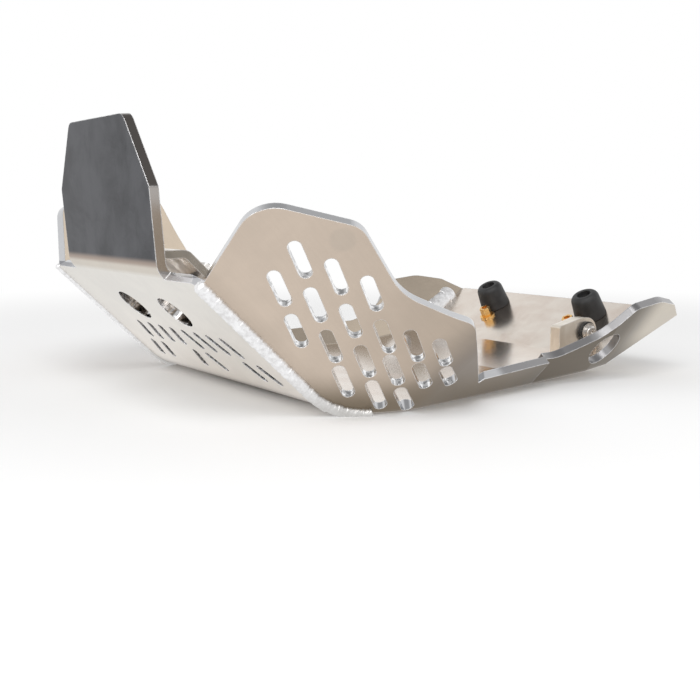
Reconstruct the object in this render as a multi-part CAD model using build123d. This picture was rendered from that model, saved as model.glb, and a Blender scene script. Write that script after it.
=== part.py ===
from build123d import *
from math import atan2, cos, degrees, hypot, radians, sin, tan
import os

# Folded aluminium skid plate of an enduro motorcycle, in millimetres.
# X is the width of the motorcycle, Y points to the rear and Z up.
# The origin lies on the middle plane, on the underside of the flat bottom.

# Sheet
SHEET_T = 6.0
BEND_R = 8.0

# Centre strip: upright, slope, bottom, rise and tail
SLOPE_ANGLE = 43.76
SLOPE_FOOT_Y = -95.7
SLOPE_TOP_Z = 81.8
KNEE_R = 50.0
UPRIGHT_LEAN = 4.3
UPRIGHT_FOOT_Y = -185.6
UPRIGHT_TOP_Z = 176.3
UPRIGHT_HALF = 70.0
UPRIGHT_TOP_HALF = 43.0
UPRIGHT_TAPER_Z = 134.5
UPRIGHT_CORNER_R = 8.0
UPRIGHT_BEND_R = 13.0
RISE_START_Y = 80.0
RISE_ANGLE = 5.0
TAIL_START_Y = 154.0
TAIL_ANGLE = 28.0
TAIL_END_Y = 216.0
TAIL_SPLAY = 11.0

# Side sheets: the wing turns from a front plane to a rear plane in one roll
WING_CORNER_X = 110.0
WING_NORMAL = (0.74, -0.48, -0.47)
WING_ROLL_R = 70.0
FLANK_NORMAL = (0.689, 0.123, -0.70)
FLANK_FOOT = (125.0, -20.0)
FLANGE_START_Y = 75.0
FLANGE_ANGLE = 53.0
FLANGE_FOOT_X = 108.0
WING_ROOM_Z = 130.0
FLANGE_ROOM_Z = 90.0
ROOM_X = 350.0
ROOM_FRONT_Y = -320.0

# Wing outline, measured from the top corner of the slope, along and up the front plane
WING_OUTLINE = [(1.8, -2.4), (33.0, 49.6), (88.2, 34.7), (111.1, -7.6), (154.0, -29.1), (167.6, -99.0)]
WING_RADII = [22.0, 14.0, 35.0, 12.0]
FAR_WING_REACH = 22.0
OFFCUT = 260.0

# Flange outline, along Y and up the flange from its foot
FLANGE_OUTLINE = [(4.0, 28.3), (86.0, 24.8), (121.0, 41.0), (142.0, 64.0), (172.0, 65.0), (197.0, 57.0),
                  (216.0, 42.0)]
FLANGE_RADII = [30.0, 40.0, 10.0, 30.0, 6.0]

# Slots of the wing: rows of equal slots that run down along the wing
SLOT_W = 7.8
SLOT_L = 24.0
SLOT_TILT = 20.0
SLOT_STEP = (19.5, -10.8)
SLOT_STEP_LOW = (17.0, -6.8)
SLOT_TURN_U = 90.0
SLOT_ROWS = [((55.7, 15.2), 3), ((44.4, -2.9), 6), ((53.2, -31.0), 6), ((80.1, -67.0), 3)]

# Holes of the slope
ACCESS_R = 13.5
ACCESS_X = 30.5
ACCESS_DOWN = 34.2
VENT_W = 6.2
VENT_ROW_1 = (54.3, 73.5)
VENT_ROW_2 = (78.0, 96.5)
VENTS_1 = [(8.0, 13.5), (25.3, 31.5), (42.0, 49.7), (60.0, 66.6)]
VENTS_2 = [(8.0, 15.7), (58.0, 66.0), (75.0, 84.4)]

# Round hole of the flange
FLANGE_HOLE_R = 14.0
FLANGE_HOLE_Y = 133.5
FLANGE_HOLE_UP = 27.6

# Weld beads between the slope and the wings, at the feet of the bridge and round the rear tab
SEAM_R = 3.8
SEAM_END_Y = -70.0
BRIDGE_WELD_R = 2.5
TAB_WELD_R = 2.6

# Front bridge, which the frame bolts to
BRIDGE_T = 5.0
BRIDGE_HALF = 48.0
BRIDGE_TOP_Z = 97.5
BRIDGE_GAP = 29.5
BRIDGE_FOOT_DOWN = 62.0
BRIDGE_BEND_R = 8.0
BRIDGE_INNER_R = 3.0

# Front bolts
FRONT_BOLT_R = 4.0
FRONT_BOLT_HOLE_R = 4.5
FRONT_HEAD_R = 7.0
FRONT_HEAD_H = 5.0
FRONT_HEAD_EDGE_R = 1.6
FRONT_SOCKET_AF = 5.0
FRONT_SOCKET_DEPTH = 2.8
FRONT_WASHER_R = 8.0
FRONT_WASHER_T = 1.6
FRONT_NUT_AF = 13.0
FRONT_NUT_H = 6.5
FRONT_BOLT_PROUD = 1.5

# Rubber bumpers
BUMPER_X = 55.0
BUMPER_Y = 197.0
BUMPER_BASE_R = 12.7
BUMPER_TOP_R = 9.6
BUMPER_H = 20.5
BUMPER_EDGE_R = 2.4
BUMPER_RECESS_R = 5.4
BUMPER_RECESS_DEPTH = 7.0
BUMPER_SCREW_R = 3.0
BUMPER_HEAD_R = 5.0
BUMPER_HEAD_H = 3.0
BUMPER_SOCKET_AF = 4.0

# Rear flange bolts
REAR_BOLT_X = 48.0
REAR_BOLT_Y = 181.0
REAR_BOLT_R = 3.0
REAR_HEAD_AF = 8.0
REAR_HEAD_H = 9.0
REAR_FLANGE_R = 6.4
REAR_FLANGE_T = 1.5
REAR_RECESS_R = 2.5
REAR_RECESS_DEPTH = 2.6

# Rear bracket tab with its bolt
TAB_X = 80.0
TAB_T = 9.5
TAB_FRONT_Y = 134.5
TAB_PEAK_Y = 157.0
TAB_REAR_Y = 175.0
TAB_TOP_Z = 39.0
TAB_FRONT_Z = 34.0
TAB_CORNER_R = 11.0
TAB_PEAK_R = 8.0
TAB_FRONT_R = 2.0
TAB_BOLT_Y = 162.8
TAB_BOLT_Z = 28.0
TAB_BOLT_R = 3.0
TAB_HOLE_R = 3.3
TAB_HEAD_R = 5.3
TAB_HEAD_H = 3.6
TAB_SOCKET_AF = 4.0
TAB_WASHER_R = 7.2
TAB_WASHER_T = 1.2
TAB_RING_R = 8.2
TAB_RING_T = 2.6
TAB_NUT_AF = 10.0
TAB_NUT_H = 5.0
TAB_BOLT_PROUD = 1.2

# Directions and points that follow from the sizes above
DOWN_SLOPE = Vector(0, cos(radians(SLOPE_ANGLE)), -sin(radians(SLOPE_ANGLE)))
SLOPE_IN = Vector(0, sin(radians(SLOPE_ANGLE)), cos(radians(SLOPE_ANGLE)))
SLOPE_TOP_Y = SLOPE_FOOT_Y - SLOPE_TOP_Z / tan(radians(SLOPE_ANGLE))
SLOPE_TOP = Vector(0, SLOPE_TOP_Y, SLOPE_TOP_Z)
UPRIGHT_FOOT_Z = SLOPE_TOP_Z + (SLOPE_TOP_Y - UPRIGHT_FOOT_Y) * tan(radians(SLOPE_ANGLE))
WING_OUT = Vector(*WING_NORMAL).normalized()
FLANK_OUT = Vector(*FLANK_NORMAL).normalized()
WING_ORIGIN = Vector(WING_CORNER_X, SLOPE_TOP_Y, SLOPE_TOP_Z)
WING_ALONG = Vector(0, 0, 1).cross(WING_OUT).normalized()
WING_PLANE = Plane(origin=WING_ORIGIN, x_dir=WING_ALONG, z_dir=WING_OUT)
TAIL_START_Z = (TAIL_START_Y - RISE_START_Y) * tan(radians(RISE_ANGLE))
TAIL_IN = Vector(0, -sin(radians(TAIL_ANGLE)), cos(radians(TAIL_ANGLE)))
TAIL_UP = Vector(0, cos(radians(TAIL_ANGLE)), sin(radians(TAIL_ANGLE)))
TAIL_SIDE = Vector(1, 0, 0) * cos(radians(TAIL_SPLAY)) - TAIL_UP * sin(radians(TAIL_SPLAY))
FLANGE_OUT = Vector(sin(radians(FLANGE_ANGLE)), 0, -cos(radians(FLANGE_ANGLE)))
FLANGE_PLANE = Plane(origin=(FLANGE_FOOT_X, 0, 0), x_dir=(0, 1, 0), z_dir=FLANGE_OUT)
TAIL_FLANGE_OUT = TAIL_SIDE * sin(radians(FLANGE_ANGLE)) - TAIL_IN * cos(radians(FLANGE_ANGLE))


def tail_point(y, above):
    """Point of the middle plane over the tail at Y, the given distance above its inner face."""
    underside = TAIL_START_Z + (y - TAIL_START_Y) * tan(radians(TAIL_ANGLE))
    return Vector(0, y, underside + SHEET_T / cos(radians(TAIL_ANGLE))) + TAIL_IN * above


def slope_point(down, above):
    """Point of the middle plane, down the slope from its top edge and above its outer face."""
    return SLOPE_TOP + DOWN_SLOPE * down + SLOPE_IN * above


def on_both_sides(point, normal):
    """The plane and its mirror image across the middle plane."""
    return [(point, normal), (Vector(-point.X, point.Y, point.Z), Vector(-normal.X, normal.Y, normal.Z))]


def cut_planes(body, planes, depth):
    """Keeps the part of the body that lies behind each plane, moved inwards by depth."""
    for point, normal in planes:
        cut = Plane(origin=point - normal * depth, z_dir=normal)
        body = split(body, bisect_by=cut, keep=Keep.BOTTOM)
    return body


def front_form(depth):
    """Solid inside the outer faces of the front half; depth moves every face inwards."""
    top = WING_ROOM_Z + 5 * depth
    length = FLANGE_START_Y - ROOM_FRONT_Y
    body = Pos(0, ROOM_FRONT_Y + length / 2, 0) * Box(2 * ROOM_X, length, 2 * top)
    flank_foot = Vector(FLANK_FOOT[0], FLANK_FOOT[1], 0)
    planes = [(Vector(0, 0, 0), Vector(0, 0, -1)), (Vector(0, SLOPE_FOOT_Y, 0), SLOPE_IN * -1)]
    planes += on_both_sides(WING_ORIGIN, WING_OUT)
    planes += on_both_sides(flank_foot, FLANK_OUT)
    body = cut_planes(body, planes, depth)
    rolls = []
    for edge in body.edges():
        ends = [edge @ 0, edge @ 1]
        steep = abs(ends[0].Z - ends[1].Z) > 0.9 * (top - depth)
        behind_slope = min(ends[0].Y, ends[1].Y) > SLOPE_FOOT_Y + 5
        if steep and behind_slope and max(ends[0].Y, ends[1].Y) < FLANGE_START_Y - 5:
            rolls.append(edge)
    body = fillet(rolls, WING_ROLL_R - depth)
    level = [e for e in body.edges().filter_by(Axis.X) if abs(e.center().Z - depth) < 0.01]
    knee = min(level, key=lambda e: e.center().Y)
    body = fillet([knee], KNEE_R - depth)
    sides = []
    for edge in body.edges():
        middle = edge.center()
        on_bottom = abs(middle.Z - depth) < 0.01 and abs(middle.X) > FLANGE_FOOT_X / 2
        if on_bottom and middle.Y < FLANGE_START_Y - 5 and abs((edge @ 0).X) > FLANGE_FOOT_X / 2:
            sides.append(edge)
    return fillet(sides, BEND_R - depth)


def rear_form(depth):
    """Solid inside the outer faces of the rear half; depth moves every face inwards."""
    top = FLANGE_ROOM_Z + 5 * depth
    body = Pos(0, TAIL_END_Y / 2, 0) * Box(2 * ROOM_X, TAIL_END_Y, 2 * top)
    rise_out = Vector(0, sin(radians(RISE_ANGLE)), -cos(radians(RISE_ANGLE)))
    tail_foot = Vector(0, TAIL_START_Y, TAIL_START_Z)
    planes = [(Vector(0, 0, 0), Vector(0, 0, -1)), (Vector(0, RISE_START_Y, 0), rise_out)]
    planes += [(tail_foot, TAIL_IN * -1)]
    planes += on_both_sides(Vector(FLANGE_FOOT_X, 0, 0), FLANGE_OUT)
    planes += on_both_sides(Vector(FLANGE_FOOT_X, TAIL_START_Y, TAIL_START_Z), TAIL_FLANGE_OUT)
    body = cut_planes(body, planes, depth)
    feet = []
    for edge in body.edges():
        middle = edge.center()
        low = middle.Z < TAIL_START_Z + (TAIL_END_Y - TAIL_START_Y) * tan(radians(TAIL_ANGLE))
        lengthwise = abs((edge @ 0).Y - (edge @ 1).Y) > 0.7 * edge.length
        if low and lengthwise and abs(middle.X) > FLANGE_FOOT_X / 2:
            feet.append(edge)
    return fillet(feet, BEND_R - depth)


def rounded_outline(points, radii):
    """Open outline through the points with its inner corners rounded."""
    return FilletPolyline(*points, radius=radii)


def offcut(plane, points, radii, closing, inward, outward):
    """Solid over the sheet beyond an outline: the outline closed by far points, both ways off the plane."""
    edge = rounded_outline(points, radii)
    back = Polyline(points[-1], *closing, points[0])
    face = make_face(edge.edges() + back.edges())
    return plane * (Pos(0, 0, -inward) * extrude(face, inward + outward))


def mirrored(shape):
    """Mirror image on the other side of the middle plane."""
    return mirror(shape, about=Plane.YZ)


def wing_offcut(reach):
    """What is cut away around the wing; reach moves its rear edge to the rear."""
    points = []
    for index, (along, up) in enumerate(WING_OUTLINE):
        moved = reach if index in (2, 3, 4) else 0
        points.append((along + moved, up))
    last = points[-1]
    closing = [(last[0] + 32, last[1] + 14), (2 * OFFCUT, last[1] + 38), (2 * OFFCUT, OFFCUT)]
    closing += [(-OFFCUT, OFFCUT), (-OFFCUT, 0)]
    return offcut(WING_PLANE, points, WING_RADII, closing, OFFCUT / 5, OFFCUT / 2)


def flange_offcut():
    """What is cut away above the flange and behind its rear end."""
    first = FLANGE_OUTLINE[0]
    last = FLANGE_OUTLINE[-1]
    closing = [(last[0] + 30, last[1] - 20), (last[0] + 30, OFFCUT), (first[0], OFFCUT)]
    return offcut(FLANGE_PLANE, FLANGE_OUTLINE, FLANGE_RADII, closing, OFFCUT / 3, OFFCUT / 2)


def upright():
    """Upright front plate with its bend and a strip that lies in the slope."""
    lean = radians(UPRIGHT_LEAN)
    rise = Vector(0, -sin(lean), cos(lean))
    inward = Vector(0, cos(lean), sin(lean))
    foot = Vector(0, UPRIGHT_FOOT_Y, UPRIGHT_FOOT_Z)
    top = foot + rise * ((UPRIGHT_TOP_Z - UPRIGHT_FOOT_Z) / cos(lean))
    turn = radians(90 - SLOPE_ANGLE) - lean
    inner_foot = foot + rise * (SHEET_T * tan(turn / 2)) + inward * SHEET_T
    low = slope_point(2 * UPRIGHT_BEND_R, 0)
    corners = [low, foot, top, top + inward * SHEET_T, inner_foot, low + SLOPE_IN * SHEET_T]
    profile = make_face(Polyline(*[(p.Y, p.Z) for p in corners], close=True))
    profile = Plane.YZ * profile
    plate = extrude(profile, UPRIGHT_HALF, both=True)
    outer_edge = plate.edges().filter_by(Axis.X).sort_by_distance((0, foot.Y, foot.Z))[0]
    plate = fillet([outer_edge], UPRIGHT_BEND_R)
    inner_edge = plate.edges().filter_by(Axis.X).sort_by_distance((0, inner_foot.Y, inner_foot.Z))[0]
    plate = fillet([inner_edge], UPRIGHT_BEND_R - SHEET_T)
    across = UPRIGHT_HALF - UPRIGHT_TOP_HALF
    taper_h = UPRIGHT_TOP_Z - UPRIGHT_TAPER_Z
    for side in (1, -1):
        out = Vector(side * taper_h, 0, across).normalized()
        start = Vector(side * UPRIGHT_HALF, 0, UPRIGHT_TAPER_Z)
        plate = split(plate, bisect_by=Plane(origin=start, z_dir=out), keep=Keep.BOTTOM)
    corners = [e for e in plate.edges() if e.center().Z > UPRIGHT_TOP_Z - SHEET_T and abs(e.length - SHEET_T) < 0.5]
    return fillet(corners, UPRIGHT_CORNER_R)


def slope_slot(start, end, width):
    """Cutter for a slot of the slope between two points given as X and way down the slope."""
    slot = SlotCenterToCenter(hypot(end[0] - start[0], end[1] - start[1]) - width, width)
    turn = degrees(atan2(end[1] - start[1], end[0] - start[0]))
    centre = Pos((start[0] + end[0]) / 2, (start[1] + end[1]) / 2, 0)
    place = Plane(origin=SLOPE_TOP, x_dir=(1, 0, 0), z_dir=SLOPE_IN * -1)
    return place * extrude(centre * Rot(0, 0, turn) * slot, 3 * SHEET_T, both=True)


def wing_slots():
    """Cutters for the equal slots of one wing, row by row."""
    cutters = []
    for (along, up), count in SLOT_ROWS:
        for column in range(count):
            slot = SlotOverall(SLOT_L, SLOT_W)
            turned = Pos(along, up, 0) * Rot(0, 0, -90 + SLOT_TILT) * slot
            cutters.append(WING_PLANE * extrude(turned, 8 * SHEET_T, both=True))
            low = along > SLOT_TURN_U
            step = SLOT_STEP_LOW if low else SLOT_STEP
            along += step[0]
            up += step[1]
    return cutters


def skid_sheet():
    """The whole folded sheet with its wings, flanges, holes and slots."""
    sheet = (front_form(0) + rear_form(0)) - (front_form(SHEET_T) + rear_form(SHEET_T))
    beyond = Plane(origin=SLOPE_TOP, z_dir=DOWN_SLOPE * -1) * (Pos(0, 0, OFFCUT) * Box(3 * OFFCUT, 3 * OFFCUT, 2 * OFFCUT))
    beyond = cut_planes(beyond, on_both_sides(WING_ORIGIN, WING_OUT), SHEET_T)
    beyond = split(beyond, bisect_by=Plane(origin=slope_point(0, 3 * SHEET_T), z_dir=SLOPE_IN), keep=Keep.BOTTOM)
    sheet -= beyond
    sheet -= wing_offcut(0)
    sheet -= mirrored(wing_offcut(FAR_WING_REACH))
    sheet -= flange_offcut()
    sheet -= mirrored(flange_offcut())
    sheet += upright()
    cutters = []
    for side in (1, -1):
        cutters.append(front_bolt_place(side, 0) * Cylinder(ACCESS_R, 6 * SHEET_T))
        for start, end in VENTS_1:
            cutters.append(slope_slot((side * start, -VENT_ROW_1[0]), (side * end, -VENT_ROW_1[1]), VENT_W))
        for start, end in VENTS_2:
            cutters.append(slope_slot((side * start, -VENT_ROW_2[0]), (side * end, -VENT_ROW_2[1]), VENT_W))
        cutters.append(tail_place(side * BUMPER_X, BUMPER_Y, 0) * Cylinder(BUMPER_SCREW_R, 4 * SHEET_T))
        cutters.append(tail_place(side * REAR_BOLT_X, REAR_BOLT_Y, 0) * Cylinder(REAR_BOLT_R, 4 * SHEET_T))
    near = wing_slots()
    near.append(FLANGE_PLANE * (Pos(FLANGE_HOLE_Y, FLANGE_HOLE_UP, 0) * Cylinder(FLANGE_HOLE_R, 8 * SHEET_T)))
    cutters += near
    cutters += [mirrored(c) for c in near]
    return sheet - cutters


def bead_along(lines, radius):
    """Round weld bead along joined lines and arcs, with a ball at each of their ends."""
    bead = None
    for line in lines:
        run = sweep(Plane(origin=line @ 0, z_dir=line % 0) * Circle(radius), path=line)
        run = run + Pos(line @ 0) * Sphere(radius) + Pos(line @ 1) * Sphere(radius)
        bead = run if bead is None else bead + run
    return bead


def seam_point(y, z):
    """Point of the wing's outer plane with the given Y and Z."""
    drop = Vector(0, y - WING_ORIGIN.Y, z - WING_ORIGIN.Z).dot(WING_OUT)
    return Vector(WING_ORIGIN.X - drop / WING_OUT.X, y, z)


def seam_weld():
    """Bead in the outer corner of slope and wing, down the slope and round the knee, flush with the bottom."""
    reach = KNEE_R * tan(radians(SLOPE_ANGLE) / 2)
    knee_y = SLOPE_FOOT_Y + reach
    turns = [radians(SLOPE_ANGLE) * share for share in (1, 0.5, 0)]
    knee = [seam_point(knee_y - KNEE_R * sin(turn), KNEE_R - KNEE_R * cos(turn)) for turn in turns]
    lines = [Line(seam_point(SLOPE_TOP_Y, SLOPE_TOP_Z), knee[0]), ThreePointArc(*knee),
             Line(knee[2], seam_point(SEAM_END_Y, 0))]
    bead = bead_along(lines, SEAM_R)
    return split(bead, bisect_by=Plane.XY, keep=Keep.TOP)


def hex_prism(across_flats, height):
    """Hexagonal prism that stands on the XY plane."""
    return extrude(RegularPolygon(across_flats / 2, 6, major_radius=False), height)


def ring(outer, inner, height):
    """Flat ring that stands on the XY plane."""
    return extrude(Circle(outer) - Circle(inner), height)


def front_bridge():
    """Bent plate in the corner of upright and slope, with a hole for each front bolt."""
    lean = radians(UPRIGHT_LEAN)
    inner_y = UPRIGHT_FOOT_Y + SHEET_T / cos(lean)
    top_front = Vector(0, inner_y - (BRIDGE_TOP_Z - UPRIGHT_FOOT_Z) * tan(lean), BRIDGE_TOP_Z)
    web = slope_point(0, BRIDGE_GAP)
    run = (web.Z - BRIDGE_TOP_Z) / sin(radians(SLOPE_ANGLE))
    shoulder = web + DOWN_SLOPE * run
    heel = slope_point(BRIDGE_FOOT_DOWN, BRIDGE_GAP)
    foot = slope_point(BRIDGE_FOOT_DOWN, SHEET_T)
    half_turn = radians(SLOPE_ANGLE) / 2
    inner_shoulder = shoulder - Vector(0, 0, BRIDGE_T) - Vector(0, BRIDGE_T * tan(half_turn), 0)
    inner_front = top_front - Vector(0, 0, BRIDGE_T) + Vector(0, BRIDGE_T * tan(lean), 0)
    inner_heel = slope_point(BRIDGE_FOOT_DOWN - BRIDGE_T, BRIDGE_GAP - BRIDGE_T)
    inner_foot = slope_point(BRIDGE_FOOT_DOWN - BRIDGE_T, SHEET_T)
    points = [top_front, shoulder, heel, foot, inner_foot, inner_heel, inner_shoulder, inner_front]
    face = Plane.YZ * make_face(Polyline(*[(q.Y, q.Z) for q in points], close=True))
    plate = extrude(face, BRIDGE_HALF, both=True)
    for corner, radius in ((shoulder, BRIDGE_BEND_R), (heel, BRIDGE_BEND_R), (inner_shoulder, BRIDGE_INNER_R),
                           (inner_heel, BRIDGE_INNER_R)):
        edge = plate.edges().filter_by(Axis.X).sort_by_distance((0, corner.Y, corner.Z))[0]
        plate = fillet([edge], radius)
    for side in (1, -1):
        place = front_bolt_place(side, BRIDGE_GAP)
        plate -= place * Cylinder(FRONT_BOLT_HOLE_R, 4 * BRIDGE_T)
    return plate


def bridge_welds(sheet, bridge):
    """Beads along the bridge: at its foot on the slope and at its front edge on the upright."""
    lean = radians(UPRIGHT_LEAN)
    inner_y = UPRIGHT_FOOT_Y + SHEET_T / cos(lean)
    foot = slope_point(BRIDGE_FOOT_DOWN, SHEET_T)
    front = Vector(0, inner_y - (BRIDGE_TOP_Z - UPRIGHT_FOOT_Z) * tan(lean), BRIDGE_TOP_Z)
    half = Vector(BRIDGE_HALF - BRIDGE_WELD_R, 0, 0)
    beads = [bead_along([Line(spot - half, spot + half)], BRIDGE_WELD_R) - sheet - bridge for spot in (foot, front)]
    return [max(bead.solids(), key=lambda solid: solid.volume) for bead in beads]


def front_bolt_place(side, above):
    """Plane across a front bolt at the given height over the outer face of the slope."""
    return Plane(origin=slope_point(ACCESS_DOWN, above) + Vector(side * ACCESS_X, 0, 0), x_dir=(1, 0, 0),
                 z_dir=SLOPE_IN)


def front_bolts():
    """Pan-head bolts under the bridge, with washers and nuts, one list for each kind."""
    bolts = []
    washers = []
    nuts = []
    under = BRIDGE_GAP - BRIDGE_T
    for side in (1, -1):
        washers.append(front_bolt_place(side, under - FRONT_WASHER_T) * ring(FRONT_WASHER_R, FRONT_BOLT_R,
                                                                            FRONT_WASHER_T))
        seat = under - FRONT_WASHER_T
        head = front_bolt_place(side, seat - FRONT_HEAD_H) * extrude(Circle(FRONT_HEAD_R), FRONT_HEAD_H)
        head = fillet(head.edges().sort_by(lambda e: (e.center() - SLOPE_TOP).dot(SLOPE_IN))[0], FRONT_HEAD_EDGE_R)
        socket = front_bolt_place(side, seat - FRONT_HEAD_H) * hex_prism(FRONT_SOCKET_AF, FRONT_SOCKET_DEPTH)
        length = FRONT_WASHER_T + BRIDGE_T + FRONT_NUT_H + FRONT_BOLT_PROUD
        shank = front_bolt_place(side, seat) * extrude(Circle(FRONT_BOLT_R), length)
        bolts.append(head - socket + shank)
        nut = hex_prism(FRONT_NUT_AF, FRONT_NUT_H) - Cylinder(FRONT_BOLT_R, 4 * FRONT_NUT_H)
        nuts.append(front_bolt_place(side, BRIDGE_GAP) * nut)
    return bolts, washers, nuts


def tail_place(x, y, above):
    """Plane parallel to the tail, above its inner face."""
    return Plane(origin=tail_point(y, above) + Vector(x, 0, 0), x_dir=(1, 0, 0), z_dir=TAIL_IN)


def bumper(side):
    """Tapered rubber bumper with a recess for its screw."""
    cone = Cone(BUMPER_BASE_R, BUMPER_TOP_R, BUMPER_H, align=(Align.CENTER, Align.CENTER, Align.MIN))
    cone = fillet(cone.edges().sort_by(Axis.Z)[-1], BUMPER_EDGE_R)
    floor = BUMPER_H - BUMPER_RECESS_DEPTH
    cone -= Pos(0, 0, floor) * extrude(Circle(BUMPER_RECESS_R), BUMPER_H)
    cone -= Cylinder(BUMPER_SCREW_R, 2 * BUMPER_H)
    return tail_place(side * BUMPER_X, BUMPER_Y, 0) * cone


def bumper_screw(side):
    """Button-head screw that holds a bumper and ends flush under the tail."""
    floor = BUMPER_H - BUMPER_RECESS_DEPTH
    head = Pos(0, 0, floor) * extrude(Circle(BUMPER_HEAD_R), BUMPER_HEAD_H)
    head = fillet(head.edges().sort_by(Axis.Z)[-1], BUMPER_HEAD_H / 2)
    head -= Pos(0, 0, floor + BUMPER_HEAD_H / 2) * hex_prism(BUMPER_SOCKET_AF, BUMPER_HEAD_H)
    shank = Pos(0, 0, -SHEET_T) * extrude(Circle(BUMPER_SCREW_R), SHEET_T + floor)
    return tail_place(side * BUMPER_X, BUMPER_Y, 0) * (head + shank)


def rear_bolt(side):
    """Flanged hexagon bolt with a recessed head, screwed into the tail."""
    body = extrude(Circle(REAR_FLANGE_R), REAR_FLANGE_T)
    body = body + Pos(0, 0, REAR_FLANGE_T) * hex_prism(REAR_HEAD_AF, REAR_HEAD_H - REAR_FLANGE_T)
    body -= Pos(0, 0, REAR_HEAD_H - REAR_RECESS_DEPTH) * extrude(Circle(REAR_RECESS_R), REAR_RECESS_DEPTH)
    body += Pos(0, 0, -SHEET_T) * extrude(Circle(REAR_BOLT_R), SHEET_T)
    return tail_place(side * REAR_BOLT_X, REAR_BOLT_Y, 0) * body


def tab_face(y, z):
    """Plane across the bolt of the rear tab, on its outer face."""
    return Plane(origin=(TAB_X, y, z), x_dir=(0, 1, 0), z_dir=(1, 0, 0))


def rear_tab():
    """Upright tab on the tail, cut to the inner face of the sheet."""
    low = -TAB_T
    outline = FilletPolyline((TAB_FRONT_Y, low), (TAB_FRONT_Y, TAB_FRONT_Z), (TAB_PEAK_Y, TAB_TOP_Z),
                             (TAB_REAR_Y, TAB_TOP_Z), (TAB_REAR_Y, low),
                             radius=[TAB_FRONT_R, TAB_PEAK_R, TAB_CORNER_R])
    face = make_face(outline.edges() + Line((TAB_REAR_Y, low), (TAB_FRONT_Y, low)).edges())
    plate = Pos(TAB_X - TAB_T, 0, 0) * extrude(Plane.YZ * face, TAB_T)
    plate -= tab_face(TAB_BOLT_Y, TAB_BOLT_Z) * Cylinder(TAB_HOLE_R, 4 * TAB_T)
    return plate & rear_form(SHEET_T)


def tab_weld(tab):
    """Bead on the tail along the foot of the rear tab, short of the rubber ring on its outer side."""
    rise = (TAB_FRONT_Y - RISE_START_Y) * tan(radians(RISE_ANGLE)) + SHEET_T / cos(radians(RISE_ANGLE))
    fold_turn = radians(TAIL_ANGLE + RISE_ANGLE) / 2
    fold_y = TAIL_START_Y - SHEET_T * sin(fold_turn) / cos(radians(TAIL_ANGLE - RISE_ANGLE) / 2)
    fold_z = (fold_y - RISE_START_Y) * tan(radians(RISE_ANGLE)) + SHEET_T / cos(radians(RISE_ANGLE))
    rear = tail_point(TAB_REAR_Y, 0)
    inner_x = TAB_X - TAB_T
    foot = [Vector(TAB_X, fold_y, fold_z), Vector(TAB_X, TAB_FRONT_Y, rise), Vector(inner_x, TAB_FRONT_Y, rise),
            Vector(inner_x, fold_y, fold_z), Vector(inner_x, rear.Y, rear.Z)]
    lines = [Line(a, b) for a, b in zip(foot, foot[1:])]
    return (bead_along(lines, TAB_WELD_R) & rear_form(SHEET_T)) - tab


def tab_fasteners():
    """Bolt, washer, rubber ring and nut of the rear tab."""
    place = tab_face(TAB_BOLT_Y, TAB_BOLT_Z)
    rubber = place * ring(TAB_RING_R, TAB_BOLT_R, TAB_RING_T)
    washer = place * (Pos(0, 0, TAB_RING_T) * ring(TAB_WASHER_R, TAB_BOLT_R, TAB_WASHER_T))
    seat = TAB_RING_T + TAB_WASHER_T
    head = Pos(0, 0, seat) * extrude(Circle(TAB_HEAD_R), TAB_HEAD_H)
    head = fillet(head.edges().sort_by(Axis.Z)[-1], TAB_HEAD_H / 2)
    head -= Pos(0, 0, seat + TAB_HEAD_H / 2) * hex_prism(TAB_SOCKET_AF, TAB_HEAD_H)
    length = seat + TAB_T + TAB_NUT_H + TAB_BOLT_PROUD
    shank = Pos(0, 0, seat - length) * extrude(Circle(TAB_BOLT_R), length)
    nut = Pos(0, 0, -TAB_T - TAB_NUT_H) * (hex_prism(TAB_NUT_AF, TAB_NUT_H) - Cylinder(TAB_BOLT_R, 4 * TAB_NUT_H))
    return place * (head + shank), washer, rubber, place * nut


def save(shape, name):
    """Writes one node; several solids of one kind go into the same file."""
    if isinstance(shape, list):
        shape = Compound(children=shape)
    export_step(shape, f"parts/{name}.step")


os.makedirs("parts", exist_ok=True)
sheet = skid_sheet()
save(sheet, "skid_sheet")
bridge = front_bridge()
save(bridge, "front_bridge")
save(bridge_welds(sheet, bridge), "bridge_welds")
seam = seam_weld() - sheet
save(seam, "weld_bead_left")
save(mirrored(seam_weld()) - sheet, "weld_bead_right")
bolts, washers, nuts = front_bolts()
save(bolts, "front_bolts")
save(washers, "front_washers")
save(nuts, "front_nuts")
for side, name in ((1, "left"), (-1, "right")):
    save(bumper(side), f"bumper_{name}")
    save(bumper_screw(side), f"bumper_screw_{name}")
    save(rear_bolt(side), f"rear_bolt_{name}")
tab = rear_tab()
save(tab, "rear_tab")
save(tab_weld(tab), "tab_weld")
tab_bolt, tab_washer, tab_rubber, tab_nut = tab_fasteners()
save(tab_bolt, "tab_bolt")
save(tab_washer, "tab_washer")
save(tab_rubber, "tab_rubber_ring")
save(tab_nut, "tab_nut")
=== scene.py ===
"""Looks of a folded aluminium skid plate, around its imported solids."""

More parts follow.
